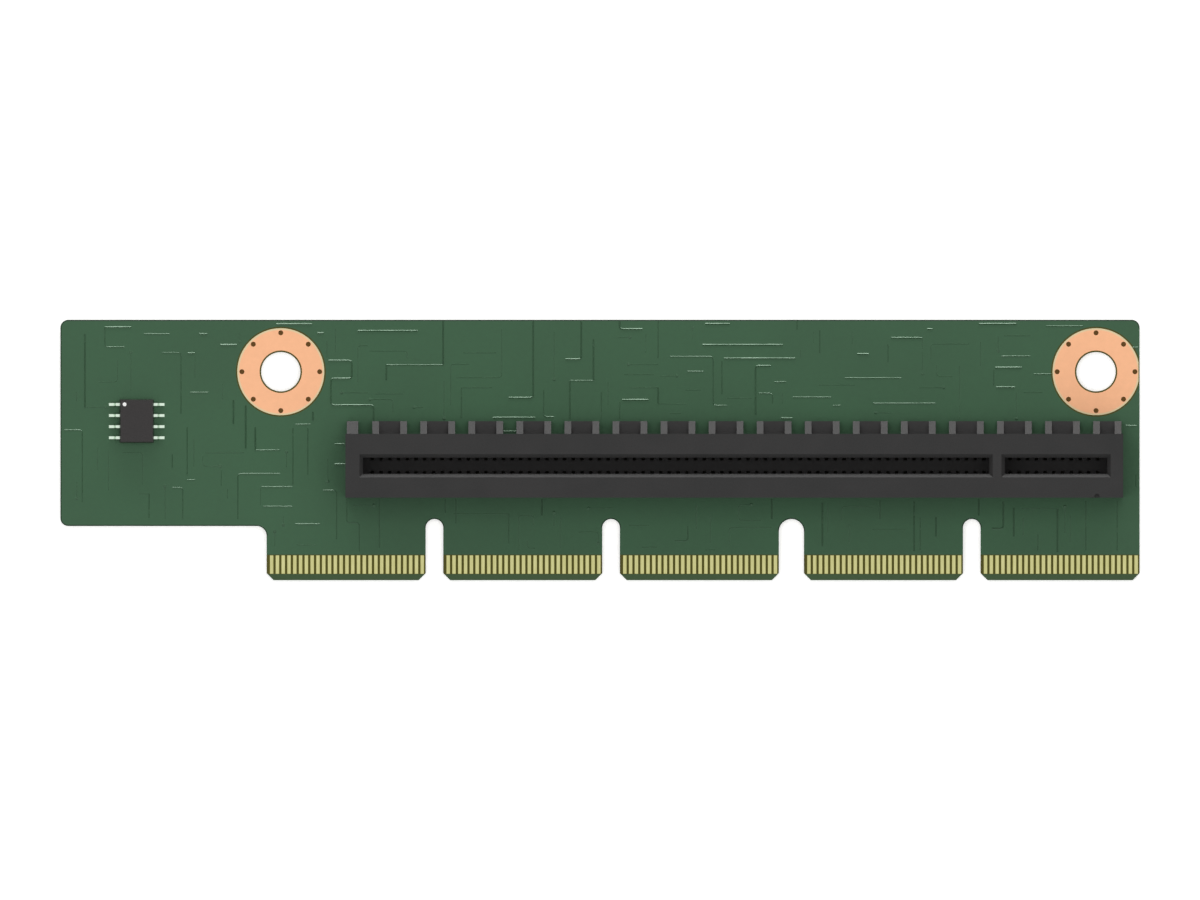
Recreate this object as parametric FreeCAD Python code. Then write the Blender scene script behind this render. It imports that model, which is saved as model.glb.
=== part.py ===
import FreeCAD, Part
import math
import os

# Riser card: a flat circuit board that plugs in by five edge tabs and carries one x16 card slot.
# Frame: millimetres, origin under the middle of the board's outline on its back face,
# +X along the board, +Y away from the edge tabs, +Z out of the face that carries the slot.

Vector = FreeCAD.Vector

# ---- circuit board ----
BOARD_LENGTH = 123.5
BOARD_WIDTH = 29.8
BOARD_THICKNESS = 1.57
CORNER_RADIUS = 0.9
WING_FILLET = 1.15          # inside corner between the wing and the first tab
WING_RISE = 6.2             # the wing's lower edge stands this far above the tabs' ends
COPPER = 0.04               # foil thickness; the foil lies flush in windows of the solder mask

# ---- edge tabs, counted from the wing ----
TAB_COUNT = 5
TAB_WIDTH = 18.2
NOTCH_WIDTHS = (2.01, 2.01, 2.87, 2.01)
NOTCH_HEIGHT = 7.0
TAB_CORNER_CUT = 0.8
BEVEL_HEIGHT = 0.74         # lead-in bevel along the tabs' ends
BEVEL_DEPTH = 0.3
FINGERS_PER_TAB = 27
FINGER_PITCH = 0.663
FINGER_WIDTH = 0.45
FINGER_LENGTH = 2.1
FINGER_WINDOW_MARGIN = 0.08
FIRST_FINGER = 0.57         # first finger's centre from the tab's left side

# ---- screw lands ----
SCREW_HOLE_RADIUS = 2.25
SCREW_SPACING = 93.3
SCREW_FROM_LEFT = 25.22
SCREW_FROM_BOTTOM = 23.86
LAND_INNER_RADIUS = 2.43
LAND_OUTER_RADIUS = 4.98
LAND_CLEARANCE = 0.17
LAND_EDGE_SETBACK = 0.12    # foil stays this far from the board's edge
LAND_VIAS = 8
VIA_CIRCLE_RADIUS = 4.45
VIA_RADIUS = 0.3
VIA_SIDES = 8

# ---- card slot: contacts on the standard 1 mm pitch, key between the two groups ----
HOUSING_LENGTH = 89.0
HOUSING_WIDTH = 7.3
HOUSING_HEIGHT = 11.25
HOUSING_FROM_LEFT = 32.62
HOUSING_CENTRE_FROM_BOTTOM = 13.1
SLOT_WIDTH = 1.85
SLOT_CHAMFER = 0.4
SEAT_HEIGHT = 2.4           # card seat above the board
CONTACT_PITCH = 1.0
LONG_GROUP = 71
SHORT_GROUP = 11
KEY_STEP = 3.0              # contact-to-contact step across the key
FIRST_CONTACT = 3.07        # from the housing's left end
LONG_SLOT = (2.0, 73.68)    # slot sections, from the housing's left end
SHORT_SLOT = (75.47, 87.18)
POCKET_WIDTH = 0.6
POCKET_REACH = 1.75         # pocket's outer wall from the slot's centre line
POCKET_LIP = 1.4            # solid lip over the pockets
CHANNEL_HEIGHT = 2.9        # open channel under each row of pockets, past the seat rail
CHANNEL_END = 0.4           # channel past the end contacts
PEG_RADIUS = 1.1
PEG_SIDES = 16
PEG_CLEARANCE = 0.05
PEG_END_GAP = 0.15          # pegs stop short of the board's back face
END_PEG = 1.45              # from the housing's left end
PIN_ONE_NOTCH = (86.0, 0.3, 0.8)   # from the housing's left end, radius, depth
PIN_ONE_SIDES = 12

# ---- spring contact, side view: (distance from slot centre line, height above the board) ----
CONTACT_WIDTH = 0.4
CONTACT_PROFILE = (
    (1.22, 0.0), (0.60, 6.1), (1.12, 8.3),
    (1.34, 8.22), (0.86, 6.1), (1.44, 0.0),
)

# ---- castellated ledge along the housing's +Y side ----
LEDGE_DEPTH = 1.45
LEDGE_HEIGHT = 3.2
TOOTH_PITCH = 5.5
TOOTH_WIDTH = 3.97
TOOTH_COUNT = 16
FIRST_TOOTH = 3.07          # from the housing's left end
LAST_TOOTH_END = 88.8
GUSSET_WIDTH = 0.77
END_BLOCK = (0.16, 1.46)

# ---- eight-lead chip ----
CHIP_FROM_LEFT = 8.73
CHIP_FROM_BOTTOM = 18.21
CHIP_WIDTH = 3.9
CHIP_LENGTH = 4.95
CHIP_STANDOFF = 0.15
CHIP_BAND = (0.75, 0.95)    # straight band where the leads come out
CHIP_TOP = 1.6
CHIP_DRAFT = 0.11           # inset of the top and bottom faces
LEADS_PER_SIDE = 4
LEAD_PITCH = 1.27
LEAD_WIDTH = 0.38
LEAD_PROFILE = (            # (distance from the chip's middle, height above the board)
    (1.95, 0.95), (2.38, 0.95), (2.62, 0.2), (3.12, 0.2),
    (3.12, 0.0), (2.47, 0.0), (2.24, 0.75), (1.95, 0.75),
)
LAND_FROM = 2.55
LAND_TO = 3.18
LAND_WIDTH = 0.44

# ---- places worked out from the above ----
LEFT = -BOARD_LENGTH / 2
BOTTOM = -BOARD_WIDTH / 2
TOP_FACE = BOARD_THICKNESS
TAB_STARTS = [BOARD_LENGTH - TAB_COUNT * TAB_WIDTH - sum(NOTCH_WIDTHS)]
for notch_width in NOTCH_WIDTHS:
    TAB_STARTS.append(TAB_STARTS[-1] + TAB_WIDTH + notch_width)
SCREW_CENTRES = {
    "left": (LEFT + SCREW_FROM_LEFT, BOTTOM + SCREW_FROM_BOTTOM),
    "right": (LEFT + SCREW_FROM_LEFT + SCREW_SPACING, BOTTOM + SCREW_FROM_BOTTOM),
}
HOUSING_LEFT = LEFT + HOUSING_FROM_LEFT
SLOT_LINE = BOTTOM + HOUSING_CENTRE_FROM_BOTTOM
HOUSING_TOP = TOP_FACE + HOUSING_HEIGHT
LONG_CONTACTS = [FIRST_CONTACT + i * CONTACT_PITCH for i in range(LONG_GROUP)]
SHORT_START = LONG_CONTACTS[-1] + KEY_STEP
SHORT_CONTACTS = [SHORT_START + i * CONTACT_PITCH for i in range(SHORT_GROUP)]
KEY_PEG = (LONG_CONTACTS[-1] + SHORT_START) / 2
PEG_PLACES = [HOUSING_LEFT + END_PEG, HOUSING_LEFT + KEY_PEG]
CHIP_X = LEFT + CHIP_FROM_LEFT
CHIP_Y = BOTTOM + CHIP_FROM_BOTTOM


def block(x_range, y_range, z_range):
    """Box between pairs of X, Y and Z values given in either order."""
    low = Vector(min(x_range), min(y_range), min(z_range))
    high = Vector(max(x_range), max(y_range), max(z_range))
    size = high - low
    return Part.makeBox(size.x, size.y, size.z, low)


def rod(x, y, z_range, radius):
    """Upright cylinder."""
    return Part.makeCylinder(radius, z_range[1] - z_range[0], Vector(x, y, z_range[0]))


def many_sided(x, y, z_range, radius, sides):
    """Upright prism on a regular polygon, for the smallest round forms."""
    turns = [2 * math.pi * i / sides for i in range(sides)]
    corners = [Vector(x + radius * math.cos(turn), y + radius * math.sin(turn), z_range[0]) for turn in turns]
    return prism(corners, Vector(0, 0, z_range[1] - z_range[0]))


def prism(points, along):
    """Closed polygon of 3-D points pushed along a vector."""
    outline = Part.makePolygon(list(points) + [points[0]])
    return Part.Face(outline).extrude(along)


def upright_edges(shape, places, tolerance=0.01):
    """Edges parallel to Z that stand at the given X, Y places."""
    found = []
    for edge in shape.Edges:
        first, last = edge.Vertexes[0].Point, edge.Vertexes[-1].Point
        upright = math.hypot(first.x - last.x, first.y - last.y) < tolerance
        if upright and any(math.hypot(first.x - x, first.y - y) < tolerance for x, y in places):
            found.append(edge)
    return found


# ---- circuit board ----

def notch_cutter(x_start, width):
    """Round-topped notch between two tabs, cut through the board."""
    radius = width / 2
    straight_top = BOTTOM + NOTCH_HEIGHT - radius
    through = (-1.0, TOP_FACE + 1.0)
    straight = block((x_start, x_start + width), (BOTTOM - 1.0, straight_top), through)
    return straight.fuse(rod(x_start + radius, straight_top, through, radius))


def tab_bevels():
    """Two wedges that bevel the tabs' ends, one on each face, along the whole board."""
    wedges = []
    for face, inward in ((0.0, 1.0), (TOP_FACE, -1.0)):
        outside = face - inward
        points = [
            Vector(LEFT - 1.0, BOTTOM - 1.0, outside),
            Vector(LEFT - 1.0, BOTTOM + BEVEL_HEIGHT, outside),
            Vector(LEFT - 1.0, BOTTOM + BEVEL_HEIGHT, face),
            Vector(LEFT - 1.0, BOTTOM, face + inward * BEVEL_DEPTH),
            Vector(LEFT - 1.0, BOTTOM - 1.0, face + inward * BEVEL_DEPTH),
        ]
        wedges.append(prism(points, Vector(BOARD_LENGTH + 2.0, 0, 0)))
    return wedges


def finger_windows():
    """Shallow mask windows across each tab, on both faces, that the fingers lie in."""
    y_range = (BOTTOM + BEVEL_HEIGHT - FINGER_WINDOW_MARGIN,
               BOTTOM + BEVEL_HEIGHT + FINGER_LENGTH + FINGER_WINDOW_MARGIN)
    windows = []
    for start in TAB_STARTS:
        x_range = (LEFT + start - 0.1, LEFT + start + TAB_WIDTH + 0.1)
        windows.append(block(x_range, y_range, (-1.0, COPPER)))
        windows.append(block(x_range, y_range, (TOP_FACE - COPPER, TOP_FACE + 1.0)))
    return windows


def land_windows():
    """Mask windows of the screw lands, a hair wider than the foil, on both faces."""
    radius = LAND_OUTER_RADIUS + LAND_CLEARANCE
    windows = []
    for x, y in SCREW_CENTRES.values():
        windows.append(rod(x, y, (-1.0, COPPER), radius))
        windows.append(rod(x, y, (TOP_FACE - COPPER, TOP_FACE + 1.0), radius))
    return windows


def lead_places():
    """Side (-1 or 1) and Y of each chip lead."""
    span = (LEADS_PER_SIDE - 1) * LEAD_PITCH
    for side in (-1, 1):
        for i in range(LEADS_PER_SIDE):
            yield side, CHIP_Y - span / 2 + i * LEAD_PITCH


def chip_land(side, y, z_range):
    """Rectangle of foil under one chip lead."""
    return block((CHIP_X + side * LAND_FROM, CHIP_X + side * LAND_TO),
                 (y - LAND_WIDTH / 2, y + LAND_WIDTH / 2), z_range)


def circuit_board():
    """The laminate: outline, notches, holes, bevels and mask windows."""
    right, top = LEFT + BOARD_LENGTH, BOTTOM + BOARD_WIDTH
    first_tab = LEFT + TAB_STARTS[0]
    wing_edge = BOTTOM + WING_RISE
    plate = block((LEFT, right), (BOTTOM, top), (0, TOP_FACE))
    plate = plate.cut(block((LEFT - 1, first_tab), (BOTTOM - 1, wing_edge), (-1, TOP_FACE + 1)))
    corners = [(LEFT, top), (right, top), (LEFT, wing_edge)]
    plate = plate.makeFillet(CORNER_RADIUS, upright_edges(plate, corners))
    plate = plate.makeFillet(WING_FILLET, upright_edges(plate, [(first_tab, wing_edge)]))
    for start, width in zip(TAB_STARTS, NOTCH_WIDTHS):
        plate = plate.cut(notch_cutter(LEFT + start + TAB_WIDTH, width))
    tab_ends = [(LEFT + start + offset, BOTTOM) for start in TAB_STARTS for offset in (0, TAB_WIDTH)]
    plate = plate.makeChamfer(TAB_CORNER_CUT, upright_edges(plate, tab_ends))
    cutters = tab_bevels() + finger_windows() + land_windows()
    through = (-1.0, TOP_FACE + 1.0)
    cutters += [rod(x, y, through, SCREW_HOLE_RADIUS) for x, y in SCREW_CENTRES.values()]
    peg_hole = PEG_RADIUS + PEG_CLEARANCE
    cutters += [many_sided(x, SLOT_LINE, through, peg_hole, PEG_SIDES) for x in PEG_PLACES]
    cutters += [chip_land(side, y, (TOP_FACE - COPPER, TOP_FACE + 1.0)) for side, y in lead_places()]
    for cutter in cutters:
        plate = plate.cut(cutter)
    return plate.removeSplitter()


# ---- foil ----

def edge_fingers(start, bottom_z):
    """The row of gold fingers on one face of one tab."""
    fingers = []
    for i in range(FINGERS_PER_TAB):
        x = LEFT + start + FIRST_FINGER + i * FINGER_PITCH
        y = BOTTOM + BEVEL_HEIGHT
        fingers.append(block((x - FINGER_WIDTH / 2, x + FINGER_WIDTH / 2),
                             (y, y + FINGER_LENGTH), (bottom_z, bottom_z + COPPER)))
    return Part.makeCompound(fingers)


def screw_land(centre, bottom_z, with_vias):
    """Copper ring round a screw hole, trimmed where it would pass the board's edge."""
    x, y = centre
    z_range = (bottom_z, bottom_z + COPPER)
    ring = rod(x, y, z_range, LAND_OUTER_RADIUS).cut(rod(x, y, z_range, LAND_INNER_RADIUS))
    edge = LEFT + BOARD_LENGTH - LAND_EDGE_SETBACK
    ring = ring.common(block((x - 10, edge), (y - 10, y + 10), z_range))
    if with_vias:
        for i in range(LAND_VIAS):
            turn = 2 * math.pi * i / LAND_VIAS
            via_x, via_y = x + VIA_CIRCLE_RADIUS * math.cos(turn), y + VIA_CIRCLE_RADIUS * math.sin(turn)
            ring = ring.cut(many_sided(via_x, via_y, z_range, VIA_RADIUS, VIA_SIDES))
    return ring


# ---- card slot ----

def slot_cutter(section):
    """One section of the card slot, with its chamfered mouth."""
    x_range = (HOUSING_LEFT + section[0], HOUSING_LEFT + section[1])
    half = SLOT_WIDTH / 2
    well = block(x_range, (SLOT_LINE - half, SLOT_LINE + half),
                 (TOP_FACE + SEAT_HEIGHT, HOUSING_TOP + 1))
    rims = []
    for z, flare in ((HOUSING_TOP - SLOT_CHAMFER, 0.0), (HOUSING_TOP, SLOT_CHAMFER)):
        low = Vector(x_range[0] - flare, SLOT_LINE - half - flare, z)
        high = Vector(x_range[1] + flare, SLOT_LINE + half + flare, z)
        corners = [low, Vector(high.x, low.y, z), high, Vector(low.x, high.y, z), low]
        rims.append(Part.makePolygon(corners))
    return well.fuse(Part.makeLoft(rims, True, True))


def pocket_cutters(contacts):
    """The pockets of one group: a slit in the slot wall for each contact, both rows."""
    z_range = (TOP_FACE + CHANNEL_HEIGHT, HOUSING_TOP - POCKET_LIP)
    pockets = []
    for offset in contacts:
        x = HOUSING_LEFT + offset
        for side in (-1, 1):
            y_range = (SLOT_LINE + side * SLOT_WIDTH / 2, SLOT_LINE + side * POCKET_REACH)
            pockets.append(block((x - POCKET_WIDTH / 2, x + POCKET_WIDTH / 2), y_range, z_range))
    return Part.makeCompound(pockets)


def channel_cutters(contacts):
    """Channels beside the seat rail of one group, where the contacts stand on the board."""
    x_range = (HOUSING_LEFT + contacts[0] - CHANNEL_END, HOUSING_LEFT + contacts[-1] + CHANNEL_END)
    channels = []
    for side in (-1, 1):
        y_range = (SLOT_LINE + side * SLOT_WIDTH / 2, SLOT_LINE + side * POCKET_REACH)
        channels.append(block(x_range, y_range, (TOP_FACE - 1, TOP_FACE + CHANNEL_HEIGHT)))
    return Part.makeCompound(channels)


def gusset(x_start, width):
    """Sloped rib from the housing's side down to the ledge's outer edge."""
    wall = SLOT_LINE + HOUSING_WIDTH / 2
    shelf = TOP_FACE + LEDGE_HEIGHT
    corners = [
        Vector(x_start, wall, shelf),
        Vector(x_start, wall + LEDGE_DEPTH, shelf),
        Vector(x_start, wall, shelf + LEDGE_DEPTH),
    ]
    return prism(corners, Vector(width, 0, 0))


def ledge():
    """Castellated ledge: blocks on an even pitch, each with a gusset at both ends."""
    wall = SLOT_LINE + HOUSING_WIDTH / 2
    starts = [FIRST_TOOTH + i * TOOTH_PITCH for i in range(TOOTH_COUNT)]
    teeth = [(start, min(start + TOOTH_WIDTH, LAST_TOOTH_END)) for start in starts]
    pieces = [gusset(HOUSING_LEFT + END_BLOCK[0], END_BLOCK[1] - END_BLOCK[0])]
    for first, last in [END_BLOCK] + teeth:
        x_range = (HOUSING_LEFT + first, HOUSING_LEFT + last)
        pieces.append(block(x_range, (wall, wall + LEDGE_DEPTH), (TOP_FACE, TOP_FACE + LEDGE_HEIGHT)))
    for first, last in teeth:
        pieces.append(gusset(HOUSING_LEFT + first, GUSSET_WIDTH))
        pieces.append(gusset(HOUSING_LEFT + last - GUSSET_WIDTH, GUSSET_WIDTH))
    return pieces


def slot_housing():
    """The moulded housing with slot, pockets, channels, ledge and locating pegs."""
    half = HOUSING_WIDTH / 2
    right = HOUSING_LEFT + HOUSING_LENGTH
    body = block((HOUSING_LEFT, right), (SLOT_LINE - half, SLOT_LINE + half), (TOP_FACE, HOUSING_TOP))
    peg_range = (PEG_END_GAP, TOP_FACE)
    pegs = [many_sided(x, SLOT_LINE, peg_range, PEG_RADIUS, PEG_SIDES) for x in PEG_PLACES]
    body = body.fuse(ledge() + pegs)
    for section, contacts in ((LONG_SLOT, LONG_CONTACTS), (SHORT_SLOT, SHORT_CONTACTS)):
        body = body.cut(slot_cutter(section))
        body = body.cut(channel_cutters(contacts))
        body = body.cut(pocket_cutters(contacts))
    offset, radius, depth = PIN_ONE_NOTCH
    notch = many_sided(HOUSING_LEFT + offset, SLOT_LINE - half + radius / 2,
                       (HOUSING_TOP - depth, HOUSING_TOP + 1), radius, PIN_ONE_SIDES)
    return body.cut(notch).removeSplitter()


def contact_row(contacts, side):
    """Bent spring contacts of one group in one row, each a separate solid."""
    row = []
    for offset in contacts:
        x = HOUSING_LEFT + offset - CONTACT_WIDTH / 2
        points = [Vector(x, SLOT_LINE + side * out, TOP_FACE + up) for out, up in CONTACT_PROFILE]
        row.append(prism(points, Vector(CONTACT_WIDTH, 0, 0)))
    return Part.makeCompound(row)


# ---- chip ----

def chip_rim(height, inset):
    """Rectangle round the chip body at a height above the board."""
    half_x, half_y = CHIP_WIDTH / 2 - inset, CHIP_LENGTH / 2 - inset
    z = TOP_FACE + height
    signs = ((-1, -1), (1, -1), (1, 1), (-1, 1), (-1, -1))
    return Part.makePolygon([Vector(CHIP_X + sx * half_x, CHIP_Y + sy * half_y, z) for sx, sy in signs])


def chip_body():
    """Moulded body: a straight band with drafted halves above and below it."""
    levels = ((CHIP_STANDOFF, CHIP_DRAFT), (CHIP_BAND[0], 0.0), (CHIP_BAND[1], 0.0), (CHIP_TOP, CHIP_DRAFT))
    rims = [chip_rim(height, inset) for height, inset in levels]
    parts = [Part.makeLoft([lower, upper], True, True) for lower, upper in zip(rims, rims[1:])]
    return parts[0].fuse(parts[1:]).removeSplitter()


def chip_leads():
    """Eight gull-wing leads, each a bent strip that starts on the body's band."""
    leads = []
    for side, y in lead_places():
        points = [Vector(CHIP_X + side * out, y - LEAD_WIDTH / 2, TOP_FACE + up) for out, up in LEAD_PROFILE]
        leads.append(prism(points, Vector(0, LEAD_WIDTH, 0)))
    return Part.makeCompound(leads)


def chip_lands():
    """The foil lands that the chip's feet are soldered to."""
    z_range = (TOP_FACE - COPPER, TOP_FACE)
    return Part.makeCompound([chip_land(side, y, z_range) for side, y in lead_places()])


def build_nodes():
    """Every sub-part by its node name."""
    nodes = {"circuit_board": circuit_board()}
    for face, bottom_z in (("front", TOP_FACE - COPPER), ("back", 0.0)):
        for side, centre in SCREW_CENTRES.items():
            nodes[f"mount_pad_{side}_{face}"] = screw_land(centre, bottom_z, face == "front")
        for number, start in enumerate(TAB_STARTS, start=1):
            nodes[f"edge_contacts_{face}_{number}"] = edge_fingers(start, bottom_z)
    nodes["slot_housing"] = slot_housing()
    for group, contacts in (("long", LONG_CONTACTS), ("short", SHORT_CONTACTS)):
        nodes[f"slot_contacts_{group}_upper"] = contact_row(contacts, 1)
        nodes[f"slot_contacts_{group}_lower"] = contact_row(contacts, -1)
    nodes["sensor_body"] = chip_body()
    nodes["sensor_leads"] = chip_leads()
    nodes["sensor_lands"] = chip_lands()
    return nodes


os.makedirs("parts", exist_ok=True)
for name, shape in build_nodes().items():
    shape.exportStep(f"parts/{name}.step")
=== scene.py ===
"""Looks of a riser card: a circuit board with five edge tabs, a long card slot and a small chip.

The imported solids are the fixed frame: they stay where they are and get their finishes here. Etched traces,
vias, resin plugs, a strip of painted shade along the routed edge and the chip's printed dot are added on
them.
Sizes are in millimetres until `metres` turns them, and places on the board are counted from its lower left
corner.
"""

import logging
import math
import random
from abc import ABC, abstractmethod
from dataclasses import dataclass, replace
from enum import Enum

import bmesh
import bpy
from bpy.types import Material, Mesh, Node, NodeSocket, NodeTree, Object
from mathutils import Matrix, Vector


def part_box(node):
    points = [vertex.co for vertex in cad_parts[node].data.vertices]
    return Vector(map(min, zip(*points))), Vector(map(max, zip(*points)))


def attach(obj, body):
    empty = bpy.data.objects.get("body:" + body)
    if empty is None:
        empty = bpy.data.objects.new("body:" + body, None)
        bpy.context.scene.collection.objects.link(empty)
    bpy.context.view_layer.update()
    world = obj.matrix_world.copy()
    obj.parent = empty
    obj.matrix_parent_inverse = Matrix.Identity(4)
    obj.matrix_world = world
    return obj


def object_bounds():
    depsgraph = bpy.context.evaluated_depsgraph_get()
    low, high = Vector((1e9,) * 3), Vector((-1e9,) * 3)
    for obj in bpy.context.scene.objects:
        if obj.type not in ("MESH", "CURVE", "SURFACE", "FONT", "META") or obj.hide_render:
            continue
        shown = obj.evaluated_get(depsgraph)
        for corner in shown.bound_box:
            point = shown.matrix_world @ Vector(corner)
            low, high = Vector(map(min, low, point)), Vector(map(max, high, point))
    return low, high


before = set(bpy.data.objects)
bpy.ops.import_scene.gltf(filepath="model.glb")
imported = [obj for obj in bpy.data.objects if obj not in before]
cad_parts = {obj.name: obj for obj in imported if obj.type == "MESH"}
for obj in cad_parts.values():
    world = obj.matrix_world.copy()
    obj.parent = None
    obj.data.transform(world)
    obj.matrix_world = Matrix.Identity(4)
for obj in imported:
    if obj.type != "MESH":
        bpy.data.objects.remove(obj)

CAD_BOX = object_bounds()
BODY = "root"
MM_PER_METRE = 1000.0
NOISE_LOW, NOISE_HIGH = 0.35, 0.65  # most of a noise texture's values lie between these
log = logging.getLogger("riser_card")

Colour = tuple[float, float, float, float]
Inputs = dict[str | int, object]


def metres(value: float) -> float:
    """Turns millimetres into metres."""
    return value / MM_PER_METRE


def scale_for(size: float) -> float:
    """Gives the texture scale at which a pattern repeats about every so many millimetres."""
    return MM_PER_METRE / size


def srgb(code: str) -> Colour:
    """Turns an sRGB hex colour such as "#44634A" into a linear one.

    Args:
        code: the hex colour.

    Returns:
        Linear red, green and blue, and alpha 1.
    """
    channels = [int(code[i:i + 2], 16) / 255.0 for i in (1, 3, 5)]
    linear = [c / 12.92 if c <= 0.04045 else ((c + 0.055) / 1.055) ** 2.4 for c in channels]
    return (linear[0], linear[1], linear[2], 1.0)


def add_node(tree: NodeTree, kind: str, inputs: Inputs | None = None, **settings) -> Node:
    """Adds a node, sets its properties, then fills or links its inputs.

    Args:
        tree: the shader or geometry tree.
        kind: the node's type name.
        inputs: socket name or number to a value, or to an output socket that is linked in.
        **settings: properties of the node itself.

    Returns:
        The new node.
    """
    node = tree.nodes.new(kind)
    for key, value in settings.items():
        setattr(node, key, value)
    for key, value in (inputs or {}).items():
        if isinstance(value, NodeSocket):
            tree.links.new(value, node.inputs[key])
        else:
            node.inputs[key].default_value = value
    return node


# ---- the board's places ----


class Face(Enum):
    """The two faces of the board."""

    FRONT = "front"
    BACK = "back"


class Axis(Enum):
    """The board's two directions, by their axes in the frame."""

    ALONG = "X"
    UP = "Y"


class Relief(Enum):
    """How far a trace stands up under the mask: width at its foot, width at its crest, height."""

    PROUD = (0.21, 0.02, 0.08)
    MILD = (0.14, 0.03, 0.046)
    LOW = (0.12, 0.03, 0.025)


@dataclass(frozen=True)
class Zone:
    """A rectangle on the board."""

    left: float
    low: float
    right: float
    high: float

    def near(self, other: "Zone", gap: float = 0.0) -> bool:
        """Tells whether another rectangle comes closer than a gap."""
        across = self.left - gap < other.right and other.left < self.right + gap
        return across and self.low - gap < other.high and other.low < self.high + gap

    def holds(self, other: "Zone") -> bool:
        """Tells whether another rectangle lies wholly inside."""
        across = self.left <= other.left and other.right <= self.right
        return across and self.low <= other.low and other.high <= self.high


@dataclass(frozen=True)
class Board:
    """Where things are on the circuit board, read from the frame's own boxes."""

    low: Vector
    high: Vector

    @staticmethod
    def from_frame() -> "Board":
        """Reads the circuit board's box."""
        low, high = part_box("circuit_board")
        return Board(low * MM_PER_METRE, high * MM_PER_METRE)

    def point(self, along: float, up: float, face: Face = Face.FRONT, lift: float = 0.0) -> Vector:
        """Turns a place on the board into a point of the frame.

        Args:
            along: millimetres from the board's left end.
            up: millimetres from the ends of the edge tabs.
            face: the face that the point lies on.
            lift: millimetres outwards from that face.

        Returns:
            The point, in metres.
        """
        z = self.high.z + lift if face is Face.FRONT else self.low.z - lift
        return Vector((metres(self.low.x + along), metres(self.low.y + up), metres(z)))

    def zone_of(self, node: str, margin: float = 0.0) -> Zone:
        """Finds the rectangle that a frame node covers.

        Args:
            node: the frame node.
            margin: how far the rectangle is grown on every side.

        Returns:
            The rectangle.
        """
        low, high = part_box(node)
        left, down = low.x * MM_PER_METRE - self.low.x, low.y * MM_PER_METRE - self.low.y
        right, top = high.x * MM_PER_METRE - self.low.x, high.y * MM_PER_METRE - self.low.y
        return Zone(left - margin, down - margin, right + margin, top + margin)


@dataclass(frozen=True)
class Land:
    """A round copper land for a screw."""

    along: float
    up: float
    outer: float = 4.98

    @staticmethod
    def from_frame(board: Board, node: str) -> "Land":
        """Reads a land's middle from its left side and its height, as the board's end may cut its right."""
        zone = board.zone_of(node)
        return Land(zone.left + (zone.high - zone.low) / 2.0, (zone.low + zone.high) / 2.0)

    def zones(self, margin: float) -> list[Zone]:
        """Covers the land with three rectangles: a flat one, a square one and a tall one.

        Args:
            margin: how far they reach past the land.

        Returns:
            The rectangles.
        """
        reach = self.outer + margin
        shares = ((1.0, 0.45), (0.77, 0.77), (0.45, 1.0))
        spans = [(reach * wide, reach * tall) for wide, tall in shares]
        return [Zone(self.along - a, self.up - b, self.along + a, self.up + b) for a, b in spans]


@dataclass(frozen=True)
class Route:
    """An etched trace: its start, then its runs in turn, across, up, across and so on."""

    along: float
    up: float
    runs: tuple[float, ...]

    def corners(self) -> list[tuple[float, float]]:
        """Walks the runs.

        Returns:
            The start, the corners and the end.
        """
        spots = [(self.along, self.up)]
        for i, run in enumerate(self.runs):
            along, up = spots[-1]
            if run:
                spots.append((along + run, up) if i % 2 == 0 else (along, up + run))
        return spots

    def zones(self) -> list[Zone]:
        """Gives the rectangle that each run takes up."""
        spots = self.corners()
        return [Zone(min(a[0], b[0]), min(a[1], b[1]), max(a[0], b[0]), max(a[1], b[1]))
                for a, b in zip(spots, spots[1:])]


# ---- finishes ----


class Finish(ABC):
    """A surface finish that makes its node material once."""

    name: str

    def material(self) -> Material:
        """Looks the finish's material up, or makes it at the first call.

        Returns:
            The material.
        """
        made = bpy.data.materials.get(self.name)
        if made is None:
            made = bpy.data.materials.new(self.name)
            made.use_nodes = True
            made.node_tree.nodes.clear()
            place = add_node(made.node_tree, "ShaderNodeTexCoord").outputs["Object"]
            shader = add_node(made.node_tree, "ShaderNodeBsdfPrincipled", self.pattern(made.node_tree, place))
            add_node(made.node_tree, "ShaderNodeOutputMaterial", {"Surface": shader.outputs["BSDF"]})
        return made

    @abstractmethod
    def pattern(self, tree: NodeTree, place: NodeSocket) -> Inputs:
        """Adds the nodes of this finish's pattern.

        Args:
            tree: the material's tree.
            place: the Object coordinates, in metres.

        Returns:
            The inputs of the finish's Principled shader.
        """

    def wear(self, node: str) -> None:
        """Puts the finish on a node of the frame."""
        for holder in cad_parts[node].material_slots:
            holder.material = self.material()


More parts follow.
